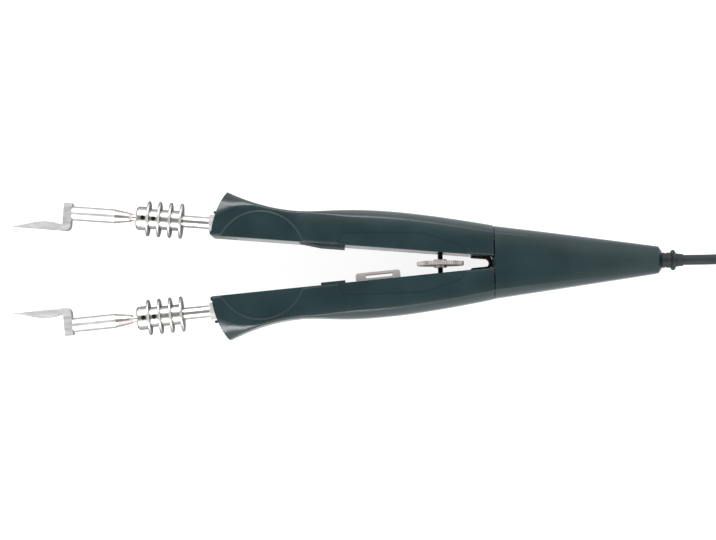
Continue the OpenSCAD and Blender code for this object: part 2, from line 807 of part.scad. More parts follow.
// Bore for the cord and seat for the grommet, at the rear end
module cord_way() translate([0, 0, mid_z]) rotate([0, 90, 0]) {
    translate([0, 0, neck_x1 - 1]) cylinder(h = far, d = cord_d + 2 * run_gap);
    translate([0, 0, grommet_flange_x - fix_gap])
        cylinder(h = grommet_flange_t + 2 * fix_gap, r = grommet_flange_r + fix_gap);
    translate([0, 0, grommet_flange_x]) cylinder(h = far, r = grommet_neck_r + fix_gap);
}

// Posts that hold the hinge pin and the screws, from z0 to z1
module posts(pin_z0, pin_z1, screw_z0, screw_z1) {
    translate([0, 0, pin_z0]) cylinder(h = pin_z1 - pin_z0, r = knuckle_r);
    for (s = [-1, 1])
        translate([screw_x, s * screw_y, screw_z0]) cylinder(h = screw_z1 - screw_z0, r = screw_boss_r);
}

pin_z0 = leaf_z0 - boss_gap - pin_seat;
pin_z1 = leaf_z1 + boss_gap + pin_seat;

module pin_hole() translate([0, 0, pin_z0]) cylinder(h = pin_z1 - pin_z0, d = pin_d + 2 * fix_gap);

module housing_bottom() color("darkslategray")
    difference() {
        union() {
            difference() {
                intersection() {
                    housing_body();
                    translate([-far / 2, -far / 2, 0]) cube([far, far, mid_z]);
                }
                housing_cavity();
                cord_way();
            }
            posts(bay_z - 1, leaf_z0 - boss_gap, bay_z - 1, mid_z);
            for (x = [board_x + 1, board_x + board_l - 3])
                for (s = [-1, 1])
                    translate([x, s * 3 - 0.75, bay_z - 1]) cube([2, 1.5, board_z - bay_z + 1]);
            translate([clamp_x - clamp_l / 2, -clamp_y - 1.2, neck_z - 1])
                cube([clamp_l, 2 * clamp_y + 2.4, mid_z - neck_z + 1]);
        }
        pin_hole();
        translate([clamp_x - far / 2, 0, mid_z]) rotate([0, 90, 0])
            translate([0, 0, far / 2 - clamp_l]) cylinder(h = 2 * clamp_l, d = cord_d + 2 * fix_gap);
        for (s = [-1, 1]) {
            translate([screw_x, s * screw_y, -1]) cylinder(h = far, d = screw_d + 2 * fix_gap);
            translate([screw_x, s * screw_y, -1]) cylinder(h = 1 + screw_head_h, d = screw_head_d + 0.3);
            translate([clamp_x, s * clamp_y, neck_z]) cylinder(h = far, d = clamp_screw_d + 2 * fix_gap);
        }
    }

module housing_top() color("darkslategray")
    difference() {
        union() {
            difference() {
                intersection() {
                    housing_body();
                    translate([-far / 2, -far / 2, mid_z]) cube([far, far, far]);
                }
                housing_cavity();
                cord_way();
            }
            posts(leaf_z1 + boss_gap, handle_h - bay_z + 1, mid_z, handle_h - bay_z + 1);
        }
        pin_hole();
        for (s = [-1, 1])
            translate([screw_x, s * screw_y, mid_z - 1])
                cylinder(h = screw_top_z - mid_z + 1 + fix_gap, d = screw_d + 2 * fix_gap);
    }

module housing_screws() color("dimgray")
    for (s = [-1, 1])
        translate([screw_x, s * screw_y, 0])
            difference() {
                union() {
                    translate([0, 0, 0.1]) cylinder(h = screw_head_h - 0.1, d = screw_head_d);
                    translate([0, 0, 1]) cylinder(h = screw_top_z - 1, d = screw_d);
                }
                for (a = [0, 90])
                    rotate([0, 0, a]) translate([-1.2, -0.3, -1]) cube([2.4, 0.6, 2]);
            }

module hinge_pin() color("silver") translate([0, 0, pin_z0]) cylinder(h = pin_z1 - pin_z0, d = pin_d);

// Bowed leaf spring between the arms, in front of the knuckles
module spreader_spring() color("black") {
    bend_x = -knuckle_r - 0.25 - spring_r - spring_t;
    lean = 90 - open_angle;
    height = leaf_z1 - leaf_z0;
    translate([bend_x, 0, leaf_z0]) {
        rotate([0, 0, -lean])
            rotate_extrude(angle = 2 * lean)
                translate([spring_r, 0]) square([spring_t, height]);
        for (s = [0, 1])
            mirror([0, s, 0])
                rotate([0, 0, -open_angle])
                    translate([-spring_leg, spring_r, 0]) cube([spring_leg, spring_t, height]);
    }
}

module terminal_board() color("green")
    difference() {
        translate([board_x, -board_w / 2, board_z]) cube([board_l, board_w, board_t]);
        for (x = [board_x + 5, board_x + board_l - 5])
            translate([x, 0, 0]) cylinder(h = far, d = 1.6);
    }

module cord_clamp() color("gray")
    difference() {
        translate([clamp_x - clamp_l / 2, -clamp_y - 1.2, mid_z]) cube([clamp_l, 2 * clamp_y + 2.4, clamp_h]);
        translate([clamp_x - clamp_l, 0, mid_z]) rotate([0, 90, 0])
            cylinder(h = 2 * clamp_l, d = cord_d + 2 * fix_gap);
        for (s = [-1, 1])
            translate([clamp_x, s * clamp_y, 0]) cylinder(h = far, d = clamp_screw_d + 2 * fix_gap);
    }

module clamp_screws() color("silver")
    for (s = [-1, 1])
        translate([clamp_x, s * clamp_y, 0]) {
            translate([0, 0, neck_z + 0.4]) cylinder(h = mid_z + clamp_h - neck_z, d = clamp_screw_d);
            translate([0, 0, mid_z + clamp_h]) cylinder(h = 1, d = clamp_screw_d + 0.9);
        }

// Rubber grommet: a flange held in the housing, two rings, a collar and a tapered tail
module cord_grommet() color("black") translate([0, 0, mid_z]) rotate([0, 90, 0])
    rotate_extrude()
        difference() {
            union() {
                translate([0, grommet_flange_x]) square([grommet_flange_r, grommet_flange_t]);
                translate([0, grommet_flange_x]) square([grommet_neck_r, housing_x1 + 4 - grommet_flange_x]);
                translate([0, housing_x1 + 0.1]) square([grommet_ring_r, 1.4]);
                translate([0, housing_x1 + 2.1]) square([grommet_ring_r, 1.2]);
                polygon([
                    [0, housing_x1 + 3.7], [grommet_collar_r - 0.4, housing_x1 + 3.7],
                    [grommet_collar_r, housing_x1 + 4.1], [grommet_collar_r, housing_x1 + 4.7],
                    [grommet_collar_r - 0.4, housing_x1 + 5.1], [2.4, housing_x1 + 5.1],
                    [2.1, cord_exit_x], [0, cord_exit_x]
                ]);
            }
            translate([0, 0]) square([cord_d / 2 + fix_gap, far]);
        }

module cord_inner() color("darkslategray") translate([cord_start_x, 0, mid_z]) rotate([0, 90, 0])
    cylinder(h = cord_exit_x - cord_start_x, d = cord_d);

// Insulated cores from the cord's end to the terminal board
module cord_cores() color("orangered")
    for (i = [-1, 0, 1])
        swept([
            [cord_start_x - 0.1, i * 1.1, mid_z],
            [cord_start_x - 2, i * 1.1, mid_z],
            [board_x + board_l - 1.5, i * 2.2, board_z + board_t + wire_d / 2 + 0.25],
            [board_x + board_l - 4.5, i * 2.2, board_z + board_t + wire_d / 2 + 0.1]
        ], wire_d);

// Flexible wires that cross the hinge, from an arm's lead wires to the terminal board
module jumpers() color("white")
    for (i = [0, 1]) {
        lead_end = [-rear_wall_d - 2, wire_ys[i]];
        c = cos(open_angle);
        s = sin(open_angle);
        swept([
            [lead_end[0] * c + lead_end[1] * s, lead_end[1] * c - lead_end[0] * s, wire_z],
            [-seam_d + 1, wire_ys[i] - 0.2, wire_z - 0.45 + i * 0.9],
            [screw_x - 4.5, 1.6 + i * 1.5, wire_z - 0.5 + i * 1.1],
            [board_x - 1, 1.4 + i * 1.7, wire_z - 0.6],
            [board_x + 2.5, 1.4 + i * 1.8, board_z + board_t + wire_d / 2 + 0.1],
            [board_x + 4, 1.4 + i * 1.8, board_z + board_t + wire_d / 2 + 0.1]
        ], wire_d);
    }

module right_jumpers() jumpers();
module left_jumpers() mirror([0, 1, 0]) jumpers();

// Cord and plug

module cord_tube() color("darkslategray") swept(cord_route, cord_d);
module cord_tail() color("darkslategray") swept(tail_route, cord_d);

module cord_coil() color("darkslategray")
    translate([coil_x, 0, 0])
        rotate_extrude($fn = 96)
            translate([coil_out_r - coil_columns * cord_d, 0]) square([coil_columns * cord_d, coil_h]);

// Places a solid of revolution on the plug's axis, with its own Z along +X from the cord's end
module plug_axis() translate(plug_start) rotate([0, 90, 0]) children();

module plug_relief() color("black") plug_axis()
    rotate_extrude()
        polygon([[0, 0], [2.3, 0], [3.6, relief_l - 2], [3.6, relief_l], [0, relief_l]]);

module plug_barrel() color("black") plug_axis()
    difference() {
        rotate_extrude()
            polygon([
                [0, relief_l],
                [4.6, relief_l],
                [6.2, relief_l + 2.5],
                [plug_d / 2 - 0.8, relief_l + 6],
                [plug_d / 2, relief_l + plug_shoulder],
                [plug_d / 2, relief_l + plug_l - 0.8],
                [plug_d / 2 - 0.8, relief_l + plug_l],
                [0, relief_l + plug_l]
            ]);
        translate([0, 0, relief_l + plug_l - shell_in]) cylinder(h = far, d = shell_neck_d + 2 * fix_gap);
    }

module plug_shell() color("silver") plug_axis()
    translate([0, 0, relief_l + plug_l])
        difference() {
            union() {
                translate([0, 0, -shell_in]) cylinder(h = shell_in + 1, d = shell_neck_d);
                cylinder(h = shell_l, d = shell_d);
            }
            translate([0, 0, -far / 2]) cylinder(h = far, d = shell_bore);
        }

// Radius of the circle that the plug's contacts stand on, and the contacts' own diameter
contact_r = 3.5;
contact_d = 1.45;
contact_angles = [0, 45, 90, 135, 180];

module contact_places() for (a = contact_angles) rotate([0, 0, a]) translate([contact_r, 0, 0]) children();

module plug_insert() color("dimgray") plug_axis()
    difference() {
        translate([0, 0, relief_l + plug_l - shell_in]) cylinder(h = shell_in + 2, d = shell_bore - 2 * fix_gap);
        contact_places() cylinder(h = far, d = contact_d + 2 * fix_gap);
    }

module plug_pins() color("silver") plug_axis() contact_places()
    translate([0, 0, relief_l + plug_l - shell_in + 0.5]) {
        cylinder(h = shell_l + 2, d = contact_d);
        translate([0, 0, shell_l + 2]) sphere(d = contact_d - 0.02, $fn = 24);
    }

housing_bottom();
housing_top();
housing_screws();
hinge_pin();
spreader_spring();
terminal_board();
cord_clamp();
clamp_screws();
cord_grommet();
cord_inner();
cord_cores();
right_jumpers();
left_jumpers();
right_arm_shell();
right_arm_cover();
right_hinge_leaf();
right_bush();
right_nose_pin();
right_heater_tube();
right_cooling_sleeve();
right_set_screws();
right_heating_rod();
right_ferrule();
right_tip();
right_leads();
left_arm_shell();
left_arm_cover();
left_hinge_leaf();
left_bush();
left_nose_pin();
left_heater_tube();
left_cooling_sleeve();
left_set_screws();
left_heating_rod();
left_ferrule();
left_tip();
left_leads();
thumb_wheel();
spindle();
right_stop_nut();
left_stop_nut();
lock_slide();
lock_keeper();
cord_tube();
cord_coil();
cord_tail();
plug_relief();
plug_barrel();
plug_shell();
plug_insert();
plug_pins();
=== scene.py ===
import json
import math

import bpy
from mathutils import Matrix, Vector


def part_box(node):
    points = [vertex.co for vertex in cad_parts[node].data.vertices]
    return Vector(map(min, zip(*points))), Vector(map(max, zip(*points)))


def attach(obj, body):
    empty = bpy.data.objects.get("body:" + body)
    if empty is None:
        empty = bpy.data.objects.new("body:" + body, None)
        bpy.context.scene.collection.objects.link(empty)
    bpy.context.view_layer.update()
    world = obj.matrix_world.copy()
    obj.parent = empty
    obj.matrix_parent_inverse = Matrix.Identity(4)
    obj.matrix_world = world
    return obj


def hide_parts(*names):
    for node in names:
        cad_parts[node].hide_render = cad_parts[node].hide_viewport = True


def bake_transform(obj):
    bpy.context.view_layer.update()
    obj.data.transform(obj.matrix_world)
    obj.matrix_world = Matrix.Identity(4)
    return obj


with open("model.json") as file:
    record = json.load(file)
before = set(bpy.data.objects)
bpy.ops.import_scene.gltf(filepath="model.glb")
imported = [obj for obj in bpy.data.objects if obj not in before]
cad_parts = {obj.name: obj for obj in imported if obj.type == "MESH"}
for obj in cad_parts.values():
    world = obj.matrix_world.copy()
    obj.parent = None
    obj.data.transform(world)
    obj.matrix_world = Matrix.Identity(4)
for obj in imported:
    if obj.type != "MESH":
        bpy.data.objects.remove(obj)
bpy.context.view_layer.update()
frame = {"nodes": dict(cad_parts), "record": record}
nodes = frame["nodes"]
MM = 0.001


# Camera: almost straight above, leaning a little towards the -Y side

VIEW_TARGET = Vector((-49.75, -1.8, 9)) * MM
VIEW_WIDTH = 250.6 * MM
VIEW_ELEVATION = math.radians(87)
VIEW_ROLL = math.radians(-0.87)
LENS = 100
SENSOR = 36
CLIP_START = 10 * MM


def make_camera():
    data = bpy.data.cameras.new("camera")
    data.lens = LENS
    data.sensor_width = SENSOR
    data.clip_start = CLIP_START
    camera = bpy.data.objects.new("camera", data)
    bpy.context.scene.collection.objects.link(camera)
    back = Vector((0, -math.cos(VIEW_ELEVATION), math.sin(VIEW_ELEVATION)))
    right = Matrix.Rotation(VIEW_ROLL, 3, back) @ Vector((1, 0, 0))
    up = back.cross(right)
    turn = Matrix((right, up, back)).transposed().to_4x4()
    place = VIEW_TARGET + back * (VIEW_WIDTH * LENS / SENSOR)
    camera.matrix_world = Matrix.Translation(place) @ turn
    bpy.context.scene.camera = camera


make_camera()


# Materials

# The part of the noise's range over which a finish goes from one end to the other
NOISE_LOW = 0.3
NOISE_HIGH = 0.7
MOTTLE_DETAIL = 4
GRAIN_DETAIL = 2
GRAIN_DEPTH = 0.1 * MM


def make_material(
    name,
    color,
    roughness,
    metallic=0,
    mottle=0.12,
    mottle_scale=150,
    spread=0.06,
    stretch=(1, 1, 1),
    grain=0.0,
    grain_scale=3500,
    edge=1.0,
    ior=1.5,
):
    """A finish whose colour and roughness vary a little, with a fine grain in its surface.

    mottle and spread are the variations, stretch scales both patterns along each axis, edge is the
    tint of the reflections, which in metals is that at a glancing angle, and ior is the refractive
    index, which sets how strong reflections are where there is no metal.
    """
    made = bpy.data.materials.new(name)
    made.use_nodes = True
    tree = made.node_tree
    shader = tree.nodes["Principled BSDF"]
    shader.inputs["Metallic"].default_value = metallic
    shader.inputs["IOR"].default_value = ior
    shader.inputs["Specular Tint"].default_value = (edge, edge, edge, 1)
    place = tree.nodes.new("ShaderNodeTexCoord")
    scaled = tree.nodes.new("ShaderNodeMapping")
    scaled.inputs["Scale"].default_value = stretch
    tree.links.new(place.outputs["Object"], scaled.inputs["Vector"])

    patches = tree.nodes.new("ShaderNodeTexNoise")
    patches.inputs["Scale"].default_value = mottle_scale
    patches.inputs["Detail"].default_value = MOTTLE_DETAIL
    tree.links.new(scaled.outputs["Vector"], patches.inputs["Vector"])
    tones = tree.nodes.new("ShaderNodeValToRGB")
    dark, light = tones.color_ramp.elements
    dark.position = NOISE_LOW
    dark.color = (*[c * (1 - mottle) for c in color], 1)
    light.position = NOISE_HIGH
    light.color = (*[min(1, c * (1 + mottle)) for c in color], 1)
    tree.links.new(patches.outputs["Fac"], tones.inputs["Fac"])
    tree.links.new(tones.outputs["Color"], shader.inputs["Base Color"])
    polish = tree.nodes.new("ShaderNodeMapRange")
    polish.inputs["From Min"].default_value = NOISE_LOW
    polish.inputs["From Max"].default_value = NOISE_HIGH
    polish.inputs["To Min"].default_value = roughness - spread
    polish.inputs["To Max"].default_value = roughness + spread
    tree.links.new(patches.outputs["Fac"], polish.inputs["Value"])
    tree.links.new(polish.outputs["Result"], shader.inputs["Roughness"])

    if grain:
        noise = tree.nodes.new("ShaderNodeTexNoise")
        noise.inputs["Scale"].default_value = grain_scale
        noise.inputs["Detail"].default_value = GRAIN_DETAIL
        bump = tree.nodes.new("ShaderNodeBump")
        bump.inputs["Strength"].default_value = grain
        bump.inputs["Distance"].default_value = GRAIN_DEPTH
        tree.links.new(scaled.outputs["Vector"], noise.inputs["Vector"])
        tree.links.new(noise.outputs["Fac"], bump.inputs["Height"])
        tree.links.new(bump.outputs["Normal"], shader.inputs["Normal"])
    return made


# Patterns drawn out along X, as machining and drawing leave them
ALONG = (0.08, 1, 1)
# The bits' forged faces are drawn out less
FORGED = (0.2, 1, 1)

# One finish for each of the record's material slots
FINISHES = {
    "handle": dict(
        color=(0.0045, 0.023, 0.027),
        roughness=0.24,
        mottle=0.2,
        mottle_scale=70,
        spread=0.05,
        grain=0.2,
        ior=1.7,
    ),
    "cover": dict(
        color=(0.012, 0.03, 0.034),
        roughness=0.14,
        mottle=0.15,
        mottle_scale=90,
        spread=0.04,
        grain=0.05,
    ),
    "leaf": dict(
        color=(0.03, 0.03, 0.03),
        roughness=0.45,
        metallic=1,
        mottle=0.2,
        mottle_scale=400,
        stretch=ALONG,
        edge=0.1,
    ),
    "insulator": dict(color=(0.6, 0.59, 0.58), roughness=0.3, mottle=0.05, mottle_scale=300),
    "steel": dict(
        color=(0.72, 0.71, 0.7),
        roughness=0.24,
        metallic=1,
        mottle=0.1,
        mottle_scale=500,
        stretch=ALONG,
        edge=0.4,
    ),
    "tube": dict(
        color=(0.9, 0.89, 0.88),
        roughness=0.11,
        metallic=1,
        mottle=0.04,
        mottle_scale=400,
        spread=0.03,
        stretch=ALONG,
        edge=0.35,
    ),
    "fins": dict(
        color=(0.84, 0.83, 0.82),
        roughness=0.18,
        metallic=1,
        mottle=0.06,
        mottle_scale=600,
        spread=0.04,
        edge=0.35,
    ),
    "dark_steel": dict(
        color=(0.05, 0.05, 0.05),
        roughness=0.35,
        metallic=1,
        mottle=0.2,
        mottle_scale=500,
        edge=0.2,
    ),
    "ferrule": dict(
        color=(0.84, 0.77, 0.75),
        roughness=0.2,
        metallic=1,
        mottle=0.06,
        mottle_scale=350,
        spread=0.04,
        edge=0.35,
    ),
    "tip": dict(
        color=(0.88, 0.875, 0.87),
        roughness=0.39,
        metallic=1,
        mottle=0.07,
        mottle_scale=900,
        spread=0.05,
        stretch=FORGED,
        grain=0.03,
        grain_scale=2500,
        edge=0.4,
    ),
    "wire": dict(color=(0.7, 0.66, 0.58), roughness=0.6),
    "spring": dict(color=(0.012, 0.012, 0.012), roughness=0.4, metallic=1, edge=0.05),
    "board": dict(color=(0.05, 0.2, 0.08), roughness=0.5, mottle=0.15, mottle_scale=400),
    "grommet": dict(
        color=(0.008, 0.018, 0.016),
        roughness=0.5,
        mottle=0.2,
        mottle_scale=200,
        grain=0.2,
    ),
    "cord": dict(
        color=(0.009, 0.022, 0.023),
        roughness=0.45,
        mottle=0.15,
        mottle_scale=120,
        grain=0.15,
        grain_scale=2500,
    ),
    "plug": dict(
        color=(0.014, 0.015, 0.015),
        roughness=0.45,
        mottle=0.2,
        mottle_scale=150,
        grain=0.2,
    ),
    "wheel": dict(
        color=(0.7, 0.65, 0.635),
        roughness=0.42,
        metallic=1,
        mottle=0.14,
        mottle_scale=500,
        edge=0.6,
    ),
    "nut": dict(
        color=(0.7, 0.52, 0.24),
        roughness=0.3,
        metallic=1,
        mottle=0.12,
        mottle_scale=500,
    ),
    "slide": dict(
        color=(0.8, 0.77, 0.75),
        roughness=0.42,
        metallic=1,
        mottle=0.12,
        mottle_scale=500,
        spread=0.08,
        stretch=ALONG,
        edge=0.6,
    ),
}
LOOKS = {name: make_material(name, **finish) for name, finish in FINISHES.items()}


def object_x(tree):
    """The X coordinate of the shaded point."""
    place = tree.nodes.new("ShaderNodeTexCoord")
    split = tree.nodes.new("ShaderNodeSeparateXYZ")
    tree.links.new(place.outputs["Object"], split.inputs[0])
    return split.outputs["X"]


def add_math(tree, operation, *values):
    """The output of a Math node, of which each input is a number or another node's output."""
    node = tree.nodes.new("ShaderNodeMath")
    node.operation = operation
    for socket, value in zip(node.inputs, values):
        if isinstance(value, (int, float)):
            socket.default_value = value
        else:
            tree.links.new(value, socket)
    return node.outputs[0]


# The covers' closing pads are matt: the middle and the half length of their stretch along X,
# and what it adds to the roughness
PAD_X = -62.2 * MM
PAD_HALF = 7.8 * MM
PAD_MATT = 0.5


def matt_pads(made):
    tree = made.node_tree
    roughness = tree.nodes["Principled BSDF"].inputs["Roughness"]
    polish = roughness.links[0].from_socket
    pad = add_math(tree, "COMPARE", object_x(tree), PAD_X, PAD_HALF)
    tree.links.new(add_math(tree, "MULTIPLY_ADD", pad, PAD_MATT, polish), roughness)


matt_pads(LOOKS["cover"])


# The arms' lips fall away towards their outer corners: the way that they do so, the distance along
# it where that starts, the slope that it comes to and the length that it takes. Only faces that
# look up or down by more than LIP_UPRIGHT are changed.
LIP_WAY = (0.45, 0.893, 0)
LIP_FROM = 59.3 * MM
LIP_SLOPE = 0.62
LIP_ROUND = 4 * MM
LIP_UPRIGHT = 0.5


def slope_lips(made):
    tree = made.node_tree
    normal = tree.nodes["Principled BSDF"].inputs["Normal"]
    grain = normal.links[0].from_socket
    place = tree.nodes.new("ShaderNodeTexCoord")
    either = tree.nodes.new("ShaderNodeVectorMath")
    either.operation = "ABSOLUTE"
    tree.links.new(place.outputs["Object"], either.inputs[0])
    along = tree.nodes.new("ShaderNodeVectorMath")
    along.operation = "DOT_PRODUCT"
    along.inputs[1].default_value = LIP_WAY
    tree.links.new(either.outputs["Vector"], along.inputs[0])
    past = add_math(tree, "SUBTRACT", along.outputs["Value"], LIP_FROM)
    past = add_math(tree, "MAXIMUM", past, 0)
    square = add_math(tree, "POWER", past, 2)
    rounded = add_math(tree, "POWER", add_math(tree, "ADD", square, LIP_ROUND**2), 0.5)
    height = add_math(tree, "MULTIPLY", rounded, -LIP_SLOPE)

    facing = tree.nodes.new("ShaderNodeNewGeometry")
    split = tree.nodes.new("ShaderNodeSeparateXYZ")
    tree.links.new(facing.outputs["True Normal"], split.inputs[0])
    upright = add_math(tree, "ABSOLUTE", split.outputs["Z"])
    bump = tree.nodes.new("ShaderNodeBump")
    bump.inputs["Distance"].default_value = 1
    shown = add_math(tree, "GREATER_THAN", upright, LIP_UPRIGHT)
    tree.links.new(shown, bump.inputs["Strength"])
    tree.links.new(height, bump.inputs["Height"])
    tree.links.new(grain, bump.inputs["Normal"])
    tree.links.new(bump.outputs["Normal"], normal)


slope_lips(LOOKS["handle"])


# CAD pieces: their materials, and smooth shading across small angles

SMOOTH_ANGLE = math.radians(25)
WELD_GAP = 0.002 * MM


def split_edges(piece):
    split = piece.modifiers.new("split", "EDGE_SPLIT")
    split.split_angle = SMOOTH_ANGLE


def shade(piece):
    for polygon in piece.data.polygons:
        polygon.use_smooth = True
    if "custom_normal" in piece.data.attributes:
        piece.data.attributes.remove(piece.data.attributes["custom_normal"])
    weld = piece.modifiers.new("weld", "WELD")
    weld.merge_threshold = WELD_GAP
    split_edges(piece)


for subpart in frame["record"]["subparts"]:
    piece = nodes[subpart["node"]]
    piece.data.materials.clear()
    piece.data.materials.append(LOOKS[subpart["material_slot"]])
    shade(piece)


# New meshes.

def make_mesh(name, points, faces, look):
    """A smooth mesh from points in mm."""
    data = bpy.data.meshes.new(name)
    data.from_pydata([Vector(p) * MM for p in points], [], faces)
    data.update()
    for polygon in data.polygons:
        polygon.use_smooth = True
    made = bpy.data.objects.new(name, data)
    bpy.context.scene.collection.objects.link(made)
    data.materials.append(look)
    return made


def tube_faces(rings, sides, first=0):
    """Faces of a closed tube through rings of points, from the given point on."""
    faces = []
    for i in range(rings - 1):
        for k in range(sides):
            a, b = first + i * sides + k, first + i * sides + (k + 1) % sides
            faces.append((a, b, b + sides, a + sides))
    faces.append(tuple(first + k for k in reversed(range(sides))))
    faces.append(tuple(first + (rings - 1) * sides + k for k in range(sides)))
    return faces


# Cord: the lead, the coil's turns and the tail to the plug, as one curve

CORD_R = 1.8
CORD_ROUNDING = 5
LEAD = [
    (64, 0, 9),
    (68, 0, 9),
    (73, 0, 8.9),
    (78, 0.2, 8.5),
    (83, 0.8, 7.8),
    (88, 2, 6.8),
    (94, 4.2, 5.5),
    (100, 7.4, 4.2),
    (106, 11, 3.2),
    (112, 14.7, 2.5),
    (118, 18, 2.2),
    (124, 20.6, 2.2),
    (130, 22.2, 2.2),
    (136, 22.8, 2.2),
]
TAIL = [
    (144, 22.9, 12.8),
    (148, 23.3, 12.1),
    (152, 24, 11),
    (156, 24.8, 9.7),
    (160, 25.6, 8.6),
    (164, 26, 8),
    (168, 26, 8),
]
COIL_X = 140
# Each turn of the coil as its radius and height, in the order in which the cord is wound
TURNS = [
    (22.8, 2.2),
    (19.2, 2.2),
    (19.2, 5.8),
    (22.8, 5.8),
    (22.8, 9.4),
    (19.2, 9.4),
    (19.2, 13),
    (22.8, 13),
]
TURN_STEPS = 48
# Share of a turn over which the cord crosses to the next one
CROSSING = 0.18


def ease(t):
    return t * t * (3 - 2 * t)


def coil_points():
    points = []
    for index, (radius, height) in enumerate(TURNS):
        next_radius, next_height = TURNS[min(index + 1, len(TURNS) - 1)]
        for step in range(TURN_STEPS):
            share = step / TURN_STEPS
            cross = ease(max(0, (share - 1 + CROSSING) / CROSSING))
            r = radius + (next_radius - radius) * cross
            z = height + (next_height - height) * cross
            angle = math.pi / 2 - 2 * math.pi * share
            points.append((COIL_X + r * math.cos(angle), r * math.sin(angle), z))
    last_r, last_z = TURNS[-1]
    points.append((COIL_X, last_r, last_z))
    return points


def smooth_route(points, steps=4):
    """Points along a Catmull-Rom curve through the given ones."""
    points = [Vector(p) for p in points]
    ends = [2 * points[0] - points[1]] + points + [2 * points[-1] - points[-2]]
    route = []
    for a, b, c, d in zip(ends, ends[1:], ends[2:], ends[3:]):
        slope = c - a
        bend = 2 * a - 5 * b + 4 * c - d
        twist = 3 * b - a - 3 * c + d
        for step in range(steps):
            t = step / steps
            route.append(0.5 * (2 * b + slope * t + bend * t * t + twist * t**3))
    return route + [points[-1]]


def make_cord():
    coil = coil_points()
    lead = smooth_route(LEAD + [coil[0]])[:-1]
    tail = smooth_route([coil[-1]] + TAIL)[1:]
    route = [Vector(p) * MM for p in lead + coil + tail]
    data = bpy.data.curves.new("cord", "CURVE")
    data.dimensions = "3D"
    data.bevel_depth = CORD_R * MM
    data.bevel_resolution = CORD_ROUNDING
    data.use_fill_caps = True
    spline = data.splines.new("POLY")
    spline.points.add(len(route) - 1)
    for point, place in zip(spline.points, route):
        point.co = (*place, 1)
    spline.use_smooth = True
    cord = bpy.data.objects.new("cord", data)
    bpy.context.scene.collection.objects.link(cord)
    data.materials.append(LOOKS["cord"])
    length = sum((b - a).length for a, b in zip(route, route[1:]))
    return cord, length


# Tie round the coil's turns, on the side away from the object

TIE_T = 0.3
TIE_W = 4
TIE_ROOM = 0.05
TIE_CORNER_STEPS = 6


def tie_loop(offset):
    """Points round the coil's section, as (radius, height), at a distance outside it."""
    low_r, high_r = min(t[0] for t in TURNS), max(t[0] for t in TURNS)
    low_z, high_z = min(t[1] for t in TURNS), max(t[1] for t in TURNS)
    corners = ((high_r, high_z), (low_r, high_z), (low_r, low_z), (high_r, low_z))
    r = CORD_R + offset
    loop = []
    for corner, (x, z) in enumerate(corners):
        for step in range(TIE_CORNER_STEPS + 1):
            angle = math.pi / 2 * (corner + step / TIE_CORNER_STEPS)
            loop.append((x + r * math.cos(angle), z + r * math.sin(angle)))
    return loop


def make_tie():
    inner, outer = tie_loop(TIE_ROOM), tie_loop(TIE_ROOM + TIE_T)
    near, far = -TIE_W / 2, TIE_W / 2
    rings = ((inner, near), (outer, near), (outer, far), (inner, far))
    points = [(COIL_X + x, y, z) for loop, y in rings for x, z in loop]
    n = len(inner)
    faces = []
    for k in range(len(rings)):
        a, b = k * n, (k + 1) % len(rings) * n
        for i in range(n):
            j = (i + 1) % n
            faces.append((a + i, b + i, b + j, a + j))
    tie = make_mesh("cord_tie", points, faces, LOOKS["plug"])
    split_edges(tie)
    return tie


cord, cord_length = make_cord()
tie = make_tie()
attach(tie, "housing")
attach(cord, "housing")
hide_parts("cord_tube", "cord_coil", "cord_tail")


# Spindle: the same rod with its thread cut into it

THREAD_PITCH = 0.4
THREAD_DEPTH = 0.24
THREAD_SIDES = 24
THREAD_STEPS = 8


def make_thread():
    low, high = (Vector(c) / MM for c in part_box("spindle"))
    radius = (high.z - low.z) / 2
    middle = (low + high) / 2
    count = round((high.y - low.y) / THREAD_PITCH * THREAD_STEPS)
    points = []
    for i in range(count + 1):
        y = low.y + (high.y - low.y) * i / count
        for k in reversed(range(THREAD_SIDES)):
            turn = (i / THREAD_STEPS + k / THREAD_SIDES) % 1
            r = radius - THREAD_DEPTH * abs(1 - 2 * turn)
            angle = 2 * math.pi * k / THREAD_SIDES
            points.append((middle.x + r * math.cos(angle), y, middle.z + r * math.sin(angle)))
    faces = tube_faces(count + 1, THREAD_SIDES)
    return make_mesh("spindle_thread", points, faces, LOOKS["dark_steel"])


thread = make_thread()
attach(thread, "adjuster")
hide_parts("spindle")


# Spring between the arms: two halves, one on each side

SPRING_R = 1.5
SPRING_T = 0.5
SPRING_OUT = SPRING_R + SPRING_T
SPRING_LEG = 5
# The bend is square outside, and its sides draw in towards the hinge by this share of their length
SPRING_DRAW = 0.16
OPEN_ANGLE = math.radians(5)
BEND_STEPS = 12
LEG_STEPS = 6


def make_spring_half(name, side):
    """The half on one side, and the X of the bend's centre."""
    low, high = (Vector(c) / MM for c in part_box("spreader_spring"))
    bend_x = high.x - SPRING_OUT
    spine = []
    for i in range(BEND_STEPS + 1):
        angle = (math.pi / 2 - OPEN_ANGLE) * i / BEND_STEPS
        ahead, aside = math.cos(angle), math.sin(angle)
        square = SPRING_OUT / max(ahead, aside + SPRING_DRAW * ahead)
        spine.append([(r * ahead, r * aside) for r in (SPRING_R, square)])
    ahead, aside = math.cos(OPEN_ANGLE), math.sin(OPEN_ANGLE)
    for i in range(1, LEG_STEPS + 1):
        along = SPRING_LEG * i / LEG_STEPS
        spine.append(
            [
                (r * aside - along * ahead, r * ahead + along * aside)
                for r in (SPRING_R, SPRING_OUT)
            ]
        )
    points = []
    for inner, outer in spine:
        ring = [(*inner, low.z), (*inner, high.z), (*outer, high.z), (*outer, low.z)]
        points += [(bend_x + x, side * y, z) for x, y, z in ring[::side]]
    half = make_mesh(name, points, tube_faces(len(spine), len(ring)), LOOKS["spring"])
    split_edges(half)
    return half, bend_x
